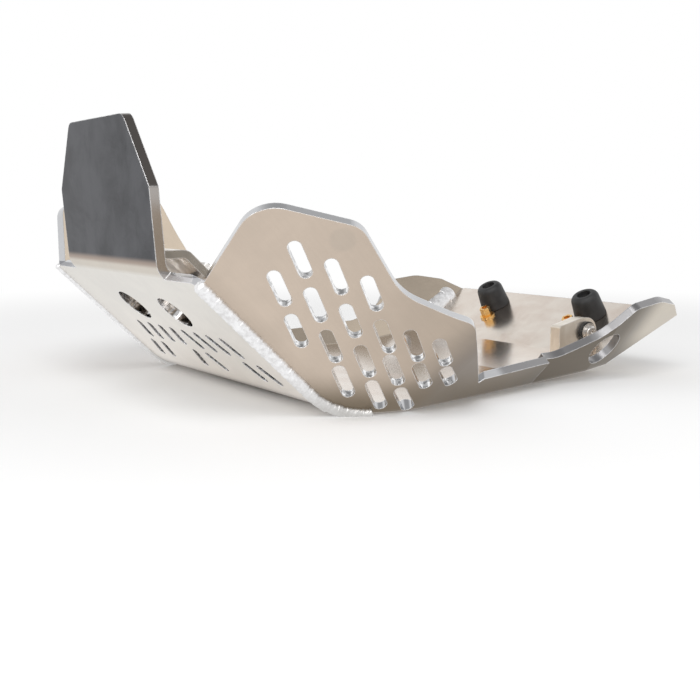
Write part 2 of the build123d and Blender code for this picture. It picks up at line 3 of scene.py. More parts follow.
import bpy
import numpy as np
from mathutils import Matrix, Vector


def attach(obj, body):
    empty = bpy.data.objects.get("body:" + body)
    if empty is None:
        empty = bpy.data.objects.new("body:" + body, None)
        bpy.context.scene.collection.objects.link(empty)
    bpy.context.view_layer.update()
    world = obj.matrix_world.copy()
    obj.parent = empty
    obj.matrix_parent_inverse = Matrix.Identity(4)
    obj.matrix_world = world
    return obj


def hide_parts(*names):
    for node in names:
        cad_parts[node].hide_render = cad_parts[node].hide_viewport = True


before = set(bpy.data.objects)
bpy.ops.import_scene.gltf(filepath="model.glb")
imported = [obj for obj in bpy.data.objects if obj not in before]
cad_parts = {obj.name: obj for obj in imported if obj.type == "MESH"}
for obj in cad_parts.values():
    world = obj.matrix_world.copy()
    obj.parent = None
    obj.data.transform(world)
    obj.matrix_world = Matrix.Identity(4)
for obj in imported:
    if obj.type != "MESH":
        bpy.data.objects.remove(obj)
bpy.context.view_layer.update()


# Folded sheet: one piece of 6 mm rolled aluminium, cut with its slots, bent to an upright, a slope,
# a flat bottom and a tail, with two rolled wings. Mill finish, with bright sheared edges. Its colour
# changes from face to face with painted light and shade, and the front plate is painted near black, a
# painted dark reflection that makes it darker than the rest.
def put(tree, kind, inputs=None, **settings):
    """Adds a shader node; inputs gives values or other nodes' sockets by input name or number."""
    node = tree.nodes.new(kind)
    for name, value in settings.items():
        setattr(node, name, value)
    for key, value in (inputs or {}).items():
        if isinstance(value, bpy.types.NodeSocket):
            tree.links.new(value, node.inputs[key])
        else:
            node.inputs[key].default_value = value
    return node


def effect(name, ins, outs):
    """Starts a shader group: ins are (name, type, value), outs are (name, type)."""
    tree = bpy.data.node_groups.new(name, "ShaderNodeTree")
    for label, kind, value in ins:
        socket = tree.interface.new_socket(name=label, in_out="INPUT", socket_type=kind)
        socket.default_value = value
    for label, kind in outs:
        tree.interface.new_socket(name=label, in_out="OUTPUT", socket_type=kind)
    return tree, put(tree, "NodeGroupInput"), put(tree, "NodeGroupOutput")


def spot_of(tree):
    """The place of a point of the surface, in the object's own coordinates."""
    return put(tree, "ShaderNodeTexCoord").outputs["Object"]


def split(tree, vector):
    """The three parts of a vector, by the names X, Y and Z."""
    return put(tree, "ShaderNodeSeparateXYZ", {0: vector}).outputs


def ramp(tree, value, low, high, to_low=0.0, to_high=1.0):
    """A value between low and high, spread over to_low to to_high and held beyond them."""
    node = put(tree, "ShaderNodeMapRange", {"Value": value, "From Min": low, "From Max": high,
                                            "To Min": to_low, "To Max": to_high},
               interpolation_type="SMOOTHSTEP")
    return node.outputs["Result"]


def reckon(tree, operation, first, second=0.0, third=0.0):
    """One step of arithmetic."""
    node = put(tree, "ShaderNodeMath", {0: first, 1: second, 2: third}, operation=operation)
    return node.outputs[0]


def within(tree, value, low, high):
    """One where a value lies between low and high, and nothing elsewhere."""
    above = reckon(tree, "GREATER_THAN", value, low)
    return reckon(tree, "MULTIPLY", above, reckon(tree, "LESS_THAN", value, high))


def dot(tree, first, second):
    """Dot product of two vectors."""
    return put(tree, "ShaderNodeVectorMath", {0: first, 1: second}, operation="DOT_PRODUCT").outputs["Value"]


def beyond_plane(tree, spot, through, facing):
    """Distance of a spot from the plane through a point: their difference, dotted with the plane's facing."""
    drop = put(tree, "ShaderNodeVectorMath", {0: spot, 1: through}, operation="SUBTRACT").outputs[0]
    return dot(tree, drop, facing)


def noise(tree, spot, scale, detail, **more):
    """Noise over the surface, as a value about one half."""
    inputs = {"Vector": spot, "Scale": scale, "Detail": detail, **more}
    return put(tree, "ShaderNodeTexNoise", inputs).outputs["Fac"]


def blend_colour(tree, factor, first, second, kind="MIX"):
    """Mixes two colours by a factor."""
    node = put(tree, "ShaderNodeMix", data_type="RGBA", blend_type=kind)
    for key, value in ((0, factor), (6, first), (7, second)):
        if isinstance(value, bpy.types.NodeSocket):
            tree.links.new(value, node.inputs[key])
        else:
            node.inputs[key].default_value = value if key == 0 else (*value, 1.0)
    return node.outputs[2]


def finish_of(name):
    """A material with one Principled shader; gives the material, its tree and the shader."""
    material = bpy.data.materials.new(name)
    material.use_nodes = True
    tree = material.node_tree
    return material, tree, tree.nodes["Principled BSDF"]


def feed(tree, shader, colour, rough, height, bump, metallic=1.0, normal=None):
    """Links a shader's colour, roughness and bump; bump is its strength and its depth in metres."""
    relief = put(tree, "ShaderNodeBump", {"Height": height, "Strength": bump[0], "Distance": bump[1]})
    if normal is not None:
        tree.links.new(normal, relief.inputs["Normal"])
    tree.links.new(colour, shader.inputs["Base Color"])
    tree.links.new(rough, shader.inputs["Roughness"])
    tree.links.new(relief.outputs["Normal"], shader.inputs["Normal"])
    shader.inputs["Metallic"].default_value = metallic


SCRATCH_TURN = (0.5, 0.7, 0.4)
SCRATCH_SCALE = (14, 260, 60)
SCRATCH_DEPTH = -0.5


def grain_effect():
    """Rolled metal: a noise drawn out along Y and Z, and soft clouds where it was handled. Its height has a few
    hair scratches too, which are the tops of a noise stretched along a turned axis."""
    tree, given, result = effect(
        "rolled_grain",
        [("Across", "NodeSocketFloat", 900.0), ("Along", "NodeSocketFloat", 30.0),
         ("Clouds", "NodeSocketFloat", 16.0)],
        [("Tone", "NodeSocketFloat"), ("Cloud", "NodeSocketFloat"), ("Height", "NodeSocketFloat")])
    spot = spot_of(tree)
    scales = put(tree, "ShaderNodeCombineXYZ", {0: given.outputs["Across"], 1: given.outputs["Along"],
                                                2: given.outputs["Along"]})
    drawn = put(tree, "ShaderNodeVectorMath", {0: spot, 1: scales.outputs[0]}, operation="MULTIPLY")
    grain = noise(tree, drawn.outputs[0], 1.0, 4.0, Roughness=0.65)
    clouds = noise(tree, spot, given.outputs["Clouds"], 5.0, Roughness=0.6, Distortion=0.4)
    skewed = put(tree, "ShaderNodeMapping", {"Vector": spot, "Rotation": SCRATCH_TURN,
                                             "Scale": SCRATCH_SCALE})
    scratch = ramp(tree, noise(tree, skewed.outputs[0], 1.0, 1.0), 0.70, 0.76)
    tree.links.new(grain, result.inputs["Tone"])
    tree.links.new(ramp(tree, clouds, 0.3, 0.7), result.inputs["Cloud"])
    tree.links.new(reckon(tree, "MULTIPLY_ADD", scratch, SCRATCH_DEPTH, grain), result.inputs["Height"])
    return tree


SEAM_START = np.array([0.110, -0.18112, 0.0818])
SLOPE_FACE = np.array([0.0, -0.692, -0.722])
WING_FACE = np.array([0.74, -0.48, -0.47])
# Each face of the sheet's left half: the way that it points, and the region that it is looked for in.
SHEET_FACES = {
    "upright": ((0, -0.997, -0.075), "Upright"),
    "bend of upright and slope": ((0, -0.90, -0.43), "Upright"),
    "slope": (SLOPE_FACE, None),
    "wing's front": (WING_FACE, None),
    "wing's roll": ((0.734, -0.18, -0.65), None),
    "wing's rear": ((0.689, 0.123, -0.70), None),
    "bottom": ((0, 0, 1), None),
    "flange": ((0.799, 0, -0.602), None),
    "bend of bottom and flange": ((0.446, 0, -0.895), None),
    "bend of bottom and wing's front": ((0.432, -0.28, -0.858), None),
    "bend of bottom and wing's rear": ((0.37, 0.066, -0.926), None),
    "tail": ((0, -0.469, 0.883), "Tail"),
    "tail's flange": ((0.784, 0.148, -0.603), "Tail"),
    "bend of tail and its flange": ((0.44, 0.35, -0.83), "Tail"),
    "lobe, half rolled": ((0.896, -0.316, -0.309), "Lobe"),
    "lobe, rolled": ((0.983, -0.127, -0.124), "Lobe"),
}
CUT_COSINES = (0.90, 0.94)
OUTER_COSINES = (0.10, -0.10)
SIDE_COSINES = (0.25, 0.6)
FLAT_COSINES = (-0.78, -0.97)
TURNED_COSINES = (-0.42, 0.08)
FRONT_COSINES = (0.95, 0.992)
BEND_COSINES = (0.70, 0.86)
UPRIGHT_HALF = 0.0702
UPRIGHT_FOOT = 0.075
RIM_COSINE = 0.6
TAIL_FROM_Y = 0.1
TAIL_END_Y = 0.2
TAIL_END_COSINE = 0.9
LOBE_FROM_X = -0.15
# The wing's slots: the ways up its front and its rear from the seam's start, and how far the slots reach.
SLOT_REACHES = (((0.6657, 0.6156, 0.4198), 0.089), ((0.596, 0.147, 0.7885), 0.0385))
SLOT_LEVELS = (0.010, 0.106)
SLOT_SPAN_Y = (-0.158, -0.025)
WING_REAR_Y = (-0.15, -0.02)
FLANGE_TIP_Y = (0.140, 0.184)
FLANGE_TIP_LEVELS = (0.004, 0.034)
BROW_FRONT_Y = -0.174
BROW_TOP = 0.0845
SLOPE_LEVELS = (0.075, 0.0)


def faces_effect():
    """Tells where the sheet's surface lies, left and right alike, by its place and the way that it faces, with
    X turned outwards. Cut is a cut edge, which faces none of the ways of SHEET_FACES, Outer the outside, Side a
    wing or flange, Flat the bottom seen from below, and Brow the front edges at the slope's top."""
    tree, _, result = effect("sheet_faces", [], [(name, "NodeSocketFloat") for name in (
        "Cut", "Outer", "Side", "Flat", "Turned", "Rear", "Flange", "Brow", "Slots", "Front", "Bend", "Low",
        "Upright")])
    place = split(tree, spot_of(tree))
    across = reckon(tree, "ABSOLUTE", place["X"])
    facing = put(tree, "ShaderNodeNewGeometry").outputs["Normal"]
    mirror = put(tree, "ShaderNodeCombineXYZ", {0: reckon(tree, "SIGN", place["X"]), 1: 1.0, 2: 1.0})
    outward = put(tree, "ShaderNodeVectorMath", {0: facing, 1: mirror.outputs[0]}, operation="MULTIPLY")
    outward = outward.outputs[0]
    turn = split(tree, outward)
    upright = reckon(tree, "MULTIPLY", reckon(tree, "LESS_THAN", across, UPRIGHT_HALF),
                     reckon(tree, "GREATER_THAN", place["Z"], UPRIGHT_FOOT))
    regions = {"Upright": upright, "Tail": reckon(tree, "GREATER_THAN", place["Y"], TAIL_FROM_Y),
               "Lobe": reckon(tree, "LESS_THAN", place["X"], LOBE_FROM_X)}
    nearest = 0.0
    for face, region in SHEET_FACES.values():
        likeness = reckon(tree, "ABSOLUTE", dot(tree, outward, face))
        if region:
            likeness = reckon(tree, "MULTIPLY", likeness, regions[region])
        nearest = reckon(tree, "MAXIMUM", nearest, likeness)
    rim = reckon(tree, "MULTIPLY", upright, reckon(tree, "GREATER_THAN", turn["Z"], RIM_COSINE))
    end = reckon(tree, "MULTIPLY", reckon(tree, "GREATER_THAN", place["Y"], TAIL_END_Y),
                 reckon(tree, "GREATER_THAN", turn["Y"], TAIL_END_COSINE))
    cut = ramp(tree, nearest, *CUT_COSINES, 1.0, 0.0)
    cut = reckon(tree, "MAXIMUM", cut, reckon(tree, "MAXIMUM", rim, end))
    ahead = reckon(tree, "MULTIPLY", turn["Y"], -1.0)
    folded = put(tree, "ShaderNodeCombineXYZ", {0: across, 1: place["Y"], 2: place["Z"]}).outputs[0]
    slots = 0.0
    for way, reach in SLOT_REACHES:
        near = reckon(tree, "LESS_THAN", beyond_plane(tree, folded, SEAM_START, way), reach)
        slots = reckon(tree, "MAXIMUM", slots, near)
    slots = reckon(tree, "MULTIPLY", slots, within(tree, place["Z"], *SLOT_LEVELS))
    slots = reckon(tree, "MULTIPLY", slots, within(tree, place["Y"], *SLOT_SPAN_Y))
    masks = {"Cut": cut, "Slots": slots, "Upright": upright,
             "Outer": ramp(tree, turn["Z"], *OUTER_COSINES),
             "Side": ramp(tree, reckon(tree, "ABSOLUTE", turn["X"]), *SIDE_COSINES),
             "Flat": ramp(tree, turn["Z"], *FLAT_COSINES),
             "Turned": ramp(tree, turn["Y"], *TURNED_COSINES),
             "Rear": ramp(tree, place["Y"], *WING_REAR_Y),
             "Flange": reckon(tree, "MULTIPLY", ramp(tree, place["Y"], *FLANGE_TIP_Y),
                              ramp(tree, place["Z"], *FLANGE_TIP_LEVELS)),
             "Front": reckon(tree, "MULTIPLY", ramp(tree, ahead, *FRONT_COSINES), upright),
             "Bend": reckon(tree, "MULTIPLY", ramp(tree, ahead, *BEND_COSINES), upright),
             "Brow": reckon(tree, "MULTIPLY", reckon(tree, "LESS_THAN", place["Y"], BROW_FRONT_Y),
                            reckon(tree, "LESS_THAN", place["Z"], BROW_TOP)),
             "Low": ramp(tree, place["Z"], *SLOPE_LEVELS)}
    for name, mask in masks.items():
        tree.links.new(mask, result.inputs[name])
    return tree


def corner_effect():
    """Worn corners: where the surface turns within a given radius, broken up by a fine noise."""
    tree, given, result = effect("worn_corners", [("Radius", "NodeSocketFloat", 0.0008)],
                                 [("Wear", "NodeSocketFloat"), ("Rounded", "NodeSocketVector")])
    rounded = put(tree, "ShaderNodeBevel", {"Radius": given.outputs["Radius"]}, samples=4).outputs["Normal"]
    turned = dot(tree, rounded, put(tree, "ShaderNodeNewGeometry").outputs["Normal"])
    patches = noise(tree, spot_of(tree), 300.0, 3.0)
    worn = reckon(tree, "MULTIPLY", ramp(tree, turned, 0.99, 0.90), ramp(tree, patches, 0.25, 0.6, 0.5, 1.0))
    tree.links.new(worn, result.inputs["Wear"])
    tree.links.new(rounded, result.inputs["Rounded"])
    return tree


ROLLED_GRAIN = grain_effect()
WORN_CORNERS = corner_effect()


def grain_and_wear(tree, radius, **scales):
    """Places rolled grain and worn corners in a material; gives the outputs of both."""
    grain = put(tree, "ShaderNodeGroup", scales, node_tree=ROLLED_GRAIN)
    return grain.outputs, put(tree, "ShaderNodeGroup", {"Radius": radius}, node_tree=WORN_CORNERS).outputs


WING_TAN = (0.64, 0.54, 0.45)
# Painted shade of the wing, towards its rear and beside the seam bead.
WING_PAINTED_SHADE = (0.48, 0.40, 0.325)
FLANK_PAINTED_SHADE = (0.27, 0.23, 0.195)
FOOT_PAINTED_SHADE = (0.24, 0.195, 0.145)
FOOT_LEVELS = (0.030, 0.006)
# Painted shade beside the seam bead: its reach from the slope's plane and its share.
SEAM_SHADE_REACH = (0.003, 0.012)
SEAM_SHADE_SHARE = 0.35
MARK_GREY = (0.52, 0.455, 0.385)
MARK = (0.1634, -0.1224, 0.1059)
MARK_RADII = (0.0055, 0.0085)
MARK_SHARE = 0.4
WING_TO_FLANGE_Y = (0.03, 0.09)
FLANGE_PAINTED_SHADE = (0.165, 0.14, 0.11)
FLANGE_DEEPER_PAINTED_SHADE = (0.14, 0.12, 0.10)
FLANGE_DEEPER_SHADE_Y = (0.1525, 0.1550)
FLANGE_TIP_PAINTED_LIGHT = (0.64, 0.585, 0.50)
SLOPE_PAINTED_LIGHT = (0.80, 0.775, 0.73)
SLOPE_FOOT_PAINTED_LIGHT = (0.86, 0.81, 0.75)
BELLY_PAINTED_SHADE = (0.45, 0.41, 0.37)
PAN_PALE = (0.80, 0.74, 0.67)
PAN_TAN = (0.68, 0.59, 0.52)
SIDE_INSIDE_PAINTED_SHADE = (0.66, 0.56, 0.45)
# The front plate's colours: near black, a painted dark reflection, mottled by the clouds.
FRONT_PAINTED_SHADE = (0.092, 0.094, 0.103)
FRONT_PAINTED_DEEP_SHADE = (0.040, 0.041, 0.047)
BEND_TOP = 0.094
FRONT_FADE = (BEND_TOP - 0.004, BEND_TOP)
BEND_PAINTED_SHADE = (0.40, 0.32, 0.27)
BEND_PAINTED_LIGHT = (0.67, 0.62, 0.55)
BEND_LEVELS = (BEND_TOP - 0.0065, BEND_TOP - 0.0035)
CUT_GREY = (0.58, 0.585, 0.60)
SLOT_PAINTED_SHADE = (0.30, 0.30, 0.30)
UPRIGHT_EDGE_PAINTED_SHADE = (0.17, 0.155, 0.145)
UPRIGHT_EDGE_LOW_PAINTED_SHADE = (0.40, 0.375, 0.355)
CUT_FRONT_LEVELS = (0.133, 0.136)
FLANGE_EDGE_PAINTED_SHADE = (0.32, 0.315, 0.32)
CUT_FLANGE_Y = (0.02, 0.03)
TIP_EDGE_PAINTED_LIGHT = (0.80, 0.78, 0.76)
CUT_TIP_Y = (0.198, 0.206)
BROW_NEAR_PAINTED_HIGHLIGHT = (0.95, 0.95, 0.98)
BROW_FAR_PAINTED_SHADE = (0.28, 0.285, 0.305)
BROW_X = (-0.09, -0.05)
SLOT_GLINT_SCALE = 420.0
SLOT_GLINT_LEAST = 0.3
WEAR_AND_PAINTED_HIGHLIGHT = (0.92, 0.92, 0.93)
CLOUD_TONES = (0.95, 0.07)
GRAIN_TONES = (0.985, 1.015)
ROUGH_INSIDE = 0.18
ROUGHER = {"Outer": 0.19, "Cut": -0.12, "Cloud": 0.05, "Dull cut": 0.2}

sheet_finish, tree, shader = finish_of("rolled_aluminium_sheet")
grain, worn = grain_and_wear(tree, 0.0008, Clouds=34.0)
faces = put(tree, "ShaderNodeGroup", node_tree=faces_effect()).outputs
spot = spot_of(tree)
place = split(tree, spot)
# The wing darkens towards its rear: painted shade.
wing = blend_colour(tree, faces["Rear"], WING_TAN, WING_PAINTED_SHADE)
# Where the wing turns down towards its rear it is darker: painted shade.
wing = blend_colour(tree, faces["Turned"], wing, FLANK_PAINTED_SHADE)
# Beside the seam bead the wing is darker: painted shade.
off_slope = reckon(tree, "ABSOLUTE", beyond_plane(tree, spot, SEAM_START, SLOPE_FACE))
wing = blend_colour(tree, ramp(tree, off_slope, *SEAM_SHADE_REACH, SEAM_SHADE_SHARE, 0.0), wing, WING_PAINTED_SHADE)
off_mark = put(tree, "ShaderNodeVectorMath", {0: spot, 1: MARK}, operation="DISTANCE").outputs["Value"]
wing = blend_colour(tree, ramp(tree, off_mark, *MARK_RADII, MARK_SHARE, 0.0), wing, MARK_GREY)
# Low down, near the floor, the wing darkens: painted shade.
wing = blend_colour(tree, ramp(tree, place["Z"], *FOOT_LEVELS), wing, FOOT_PAINTED_SHADE)
# Flange: darkened with painted shade, deeper on its splayed part, and lightened low at its rear tip with
# painted light.
flange = blend_colour(tree, ramp(tree, place["Y"], *FLANGE_DEEPER_SHADE_Y), FLANGE_PAINTED_SHADE, FLANGE_DEEPER_PAINTED_SHADE)
flange = blend_colour(tree, faces["Flange"], flange, FLANGE_TIP_PAINTED_LIGHT)
side = blend_colour(tree, ramp(tree, place["Y"], *WING_TO_FLANGE_Y), wing, flange)
# Slope: pale with painted light, paler still low down; the bottom seen from below is darker with painted shade.
slope = blend_colour(tree, faces["Low"], SLOPE_PAINTED_LIGHT, SLOPE_FOOT_PAINTED_LIGHT)
centre = blend_colour(tree, faces["Flat"], slope, BELLY_PAINTED_SHADE)
outside = blend_colour(tree, faces["Side"], centre, side)
pan = blend_colour(tree, grain["Cloud"], PAN_PALE, PAN_TAN)
# Inner faces of wings and flanges: darker than the pan with painted shade.
inside = blend_colour(tree, faces["Side"], pan, SIDE_INSIDE_PAINTED_SHADE)
colour = blend_colour(tree, faces["Outer"], inside, outside)
# Bend under the front plate: painted light low down, painted shade above.
bend = blend_colour(tree, ramp(tree, place["Z"], *BEND_LEVELS), BEND_PAINTED_LIGHT, BEND_PAINTED_SHADE)
colour = blend_colour(tree, faces["Bend"], colour, bend)
# Front plate above its bend: painted dark reflection, mottled by the clouds.
front = blend_colour(tree, grain["Cloud"], FRONT_PAINTED_DEEP_SHADE, FRONT_PAINTED_SHADE)
above_bend = reckon(tree, "MULTIPLY", faces["Front"], ramp(tree, place["Z"], *FRONT_FADE))
colour = blend_colour(tree, above_bend, colour, front)
# Slot walls: painted shade, spotted with painted glints.
slot_glints = ramp(tree, noise(tree, spot, SLOT_GLINT_SCALE, 1.0), 0.47, 0.53, SLOT_GLINT_LEAST, 1.0)
edge = blend_colour(tree, faces["Slots"], CUT_GREY, SLOT_PAINTED_SHADE)
edge = blend_colour(tree, reckon(tree, "MULTIPLY", faces["Slots"], slot_glints), edge, WEAR_AND_PAINTED_HIGHLIGHT)
# Cut edges towards the rear: darker with painted shade, and light at the tail's end with painted light.
rear_cut = ramp(tree, place["Y"], *CUT_FLANGE_Y)
painted_rear_edge = blend_colour(tree, ramp(tree, place["Y"], *CUT_TIP_Y), FLANGE_EDGE_PAINTED_SHADE, TIP_EDGE_PAINTED_LIGHT)
edge = blend_colour(tree, rear_cut, edge, painted_rear_edge)
# Front edges at the slope's top: a painted highlight on the near side, painted shade on the far side.
brow = blend_colour(tree, ramp(tree, place["X"], *BROW_X), BROW_FAR_PAINTED_SHADE, BROW_NEAR_PAINTED_HIGHLIGHT)
edge = blend_colour(tree, faces["Brow"], edge, brow)
# Cut edges of the front plate: dark with painted shade, darker high up.
upright = blend_colour(tree, ramp(tree, place["Z"], *CUT_FRONT_LEVELS), UPRIGHT_EDGE_LOW_PAINTED_SHADE, UPRIGHT_EDGE_PAINTED_SHADE)
edge = blend_colour(tree, faces["Upright"], edge, upright)
colour = blend_colour(tree, faces["Cut"], colour, edge)
# Worn corners are lighter: partly wear, partly painted highlight lines along the edges.
colour = blend_colour(tree, worn["Wear"], colour, WEAR_AND_PAINTED_HIGHLIGHT)
toned = reckon(tree, "MULTIPLY_ADD", grain["Cloud"], CLOUD_TONES[1], CLOUD_TONES[0])
toned = reckon(tree, "MULTIPLY", toned, ramp(tree, grain["Tone"], 0.25, 0.75, *GRAIN_TONES))
tones = put(tree, "ShaderNodeCombineXYZ", {0: toned, 1: toned, 2: toned}).outputs[0]
colour = blend_colour(tree, 1.0, colour, tones, "MULTIPLY")
dull_cut = reckon(tree, "MULTIPLY", reckon(tree, "MAXIMUM", faces["Brow"], rear_cut), faces["Cut"])
rough = ROUGH_INSIDE
for name, share in (("Outer", faces["Outer"]), ("Cut", faces["Cut"]), ("Cloud", grain["Cloud"]),
                    ("Dull cut", dull_cut)):
    rough = reckon(tree, "MULTIPLY_ADD", share, ROUGHER[name], rough)
feed(tree, shader, colour, rough, grain["Height"], (0.05, 0.0001), normal=worn["Rounded"])


def dress(names, material):
    """Gives CAD nodes their material."""
    for name in names:
        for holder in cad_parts[name].material_slots:
            holder.material = material


dress(["skid_sheet"], sheet_finish)

# Seam welds: where each wing meets the slope, a bead of filler laid by hand along the outer corner.
# It is a row of overlapping puddles, so its crown is scaled like a fish, and it is bright.
SEAM_SLOPE = np.radians(43.76)
SEAM_KNEE_R = 0.050
SEAM_FOOT_Y = -0.0957
SEAM_END_Y = -0.082
SEAM_STEPS = 620
KNEE_STEPS = 24
BEAD_R = 0.0037
FAR_BEAD_R = 0.0021
BEAD_AROUND = 28
PUDDLE = 0.0028
PUDDLE_LAG = 0.9
PUDDLE_SKEW = 1.3
WANDER = 0.12
WANDER_PER_METRE = 900
SCALE_RISE = 0.045
UNEVEN_RISE = 0.05
UNEVEN_WIDTH = 0.12
UNEVEN_TURNS = (12.9898, 4.1414)
BEAD_SUNK = 0.16
BEAD_END = 0.9


def resampled(line, count):
    """Points at even steps of the way along a line, with the way at each."""
    run = np.concatenate([[0], np.cumsum(np.linalg.norm(np.diff(line, axis=0), axis=1))])
    at = np.linspace(0, run[-1], count)
    return np.stack([np.interp(at, run, part) for part in line.T], 1), at


def seam_line(count):
    """Corner of slope and wing: down the slope, round the knee's arc and along the bottom, with X from
    the wing's plane at each point."""
    reach = SEAM_KNEE_R * np.tan(SEAM_SLOPE / 2)
    knee_y = SEAM_FOOT_Y + reach
    slope_end = np.array([SEAM_FOOT_Y - reach * np.cos(SEAM_SLOPE), reach * np.sin(SEAM_SLOPE)])
    turn = np.linspace(SEAM_SLOPE, 0, KNEE_STEPS)
    arc = np.stack([knee_y - SEAM_KNEE_R * np.sin(turn), SEAM_KNEE_R * (1 - np.cos(turn))], 1)
    side_view = np.concatenate([SEAM_START[1:][None], slope_end[None], arc[1:], [[SEAM_END_Y, 0.0]]])
    x = SEAM_START[0] - ((side_view - SEAM_START[1:]) @ WING_FACE[1:]) / WING_FACE[0]
    return resampled(np.column_stack([x, side_view]), count)


def new_piece(name, points, faces, smooth=True):
    """Object at the origin with a mesh of points and faces."""
    mesh = bpy.data.meshes.new(name)
    mesh.from_pydata(points.tolist(), [], faces)
    mesh.polygons.foreach_set("use_smooth", np.full(len(mesh.polygons), smooth))
    piece = bpy.data.objects.new(name, mesh)
    bpy.context.scene.collection.objects.link(piece)
    return piece


def closed_tube(name, rings, ends, smooth=True):
    """Mesh of a tube from an array of rings (steps x around x 3), closed with a point at each end."""
    steps, around = rings.shape[:2]
    step, turn = np.meshgrid(np.arange(steps - 1), np.arange(around), indexing="ij")
    after = (turn + 1) % around
    quads = np.stack([step * around + turn, (step + 1) * around + turn, (step + 1) * around + after,
                      step * around + after], -1).reshape(-1, 4)
    turn = np.arange(around)
    after = (turn + 1) % around
    first = np.full(around, steps * around)
    last_ring = (steps - 1) * around
    caps = np.concatenate([np.stack([first, turn, after], 1),
                           np.stack([first + 1, last_ring + after, last_ring + turn], 1)])
    points = np.concatenate([rings.reshape(-1, 3), ends])
    return new_piece(name, points, quads.tolist() + caps.tolist(), smooth)


def weld_bead(name, side, line, at, crown, size, puddle, lowest=-1.0, flat=1.0):
    """Bead round a line: its radius is size times one plus a soft scale plus an unevenness of each puddle. The
    scale's phase runs with the way along, and lags with the cosine of the angle off the crown. The bead closes
    as a quarter ellipse at its ends, may be flat across its crown, and stays above the lowest level."""
    along = np.gradient(line, axis=0)
    along /= np.linalg.norm(along, axis=1, keepdims=True)
    crown = crown - along * (along @ crown)[:, None]
    crown /= np.linalg.norm(crown, axis=1, keepdims=True)
    across = np.cross(along, crown)
    way, off = np.meshgrid(at, np.linspace(-np.pi, np.pi, BEAD_AROUND, endpoint=False), indexing="ij")
    phase = way / puddle + PUDDLE_LAG * np.cos(off) + WANDER * np.sin(way * WANDER_PER_METRE)
    scale = 0.5 - 0.5 * np.cos(2 * np.pi * (phase % 1.0) ** PUDDLE_SKEW)
    count = np.floor(way / puddle)
    uneven = 0.5 + 0.5 * np.sin(count * UNEVEN_TURNS[0]) * np.sin(count * UNEVEN_TURNS[1])
    radius = size * (1 + SCALE_RISE * scale + UNEVEN_RISE * uneven)
    rest = np.clip(np.minimum(way, at[-1] - way) / (BEAD_END * size), 0.0, 1.0)
    radius *= np.sqrt(rest * (2 - rest))
    wide = 1.0 + UNEVEN_WIDTH * uneven
    middle = line - crown * BEAD_SUNK * size * flat
    rings = middle[:, None] + (crown[:, None] * flat * np.cos(off)[..., None]
                               + across[:, None] * (wide * np.sin(off))[..., None]) * radius[..., None]
    ends = middle[[0, -1]]
    rings[..., 2] = np.maximum(rings[..., 2], lowest)
    ends[:, 2] = np.maximum(ends[:, 2], lowest)
    if side < 0:
        rings = rings[:, ::-1] * np.array([-1, 1, 1])
        ends = ends * np.array([-1, 1, 1])
    return closed_tube(name, rings, ends)


WELD_GREY = (0.74, 0.73, 0.73)
WELD_BRIGHT = (0.96, 0.96, 0.97)
WELD_FOOT = (0.52, 0.505, 0.48)
WELD_FOOT_LEVELS = (0.03, 0.0)
WELD_FOOT_SHARE = 0.7

weld_finish, tree, shader = finish_of("bright_weld")
spot = spot_of(tree)
mottle = noise(tree, spot, 260.0, 5.0, Roughness=0.7)
colour = blend_colour(tree, ramp(tree, mottle, 0.3, 0.65), WELD_GREY, WELD_BRIGHT)
low = ramp(tree, split(tree, spot)["Z"], *WELD_FOOT_LEVELS, 0.0, WELD_FOOT_SHARE)
colour = blend_colour(tree, low, colour, WELD_FOOT)
feed(tree, shader, colour, ramp(tree, mottle, 0.3, 0.7, 0.34, 0.52), mottle, (0.35, 0.0003))

outer_corner = WING_FACE / np.linalg.norm(WING_FACE) + SLOPE_FACE
for name, side, size, node in (("seam_weld_left", 1, BEAD_R, "weld_bead_left"),
                               ("seam_weld_right", -1, FAR_BEAD_R, "weld_bead_right")):
    line, at = seam_line(SEAM_STEPS)
    bead = weld_bead(name, side, line, at, outer_corner, size, PUDDLE, lowest=0.0)
    bead.data.materials.append(weld_finish)
    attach(bead, "root")
    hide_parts(node)
dress(["bridge_welds", "tab_weld", "weld_bead_left", "weld_bead_right"], weld_finish)

# Far wing's lobe: on the far side the wing reaches further back than on the near side and rolls inward
# there, so that its rear edge shows to the right of the upright. Same sheet, same finish, flush with it.
GAUGE = 0.006
LOBE_START = (0.108, 0.030)
# Cosine and sine of the angle at which the lobe's bend line falls along the wing.
LOBE_FALL = (0.588, 0.809)
LOBE_TURN = np.radians(32)
LOBE_ROLL = 0.016
LOBE_ROOT = [(-0.0450, -0.0372), (-0.003, 0.0025), (0.010, -0.001), (0.044, -0.0035), (0.062, 0.004)]
LOBE_EDGE = [(-0.0452, -0.0355), (0.006, 0.0385), (0.016, 0.0362), (0.038, 0.0291), (0.064, 0.0235),
             (0.066, 0.009)]
LOBE_STEPS = 90
LOBE_SPREAD = 22
LOBE_INSET = 0.00004


def softened(points, count, rounds=3):
    """Line with its corners cut in rounds at a quarter and three quarters, then evenly resampled."""
    line = np.array(points)
    for _ in range(rounds):
        quarter = 0.75 * line[:-1] + 0.25 * line[1:]
        later = 0.25 * line[:-1] + 0.75 * line[1:]
        line = np.concatenate([line[:1], np.stack([quarter, later], 1).reshape(-1, 2), line[-1:]])
    return resampled(line, count)[0]


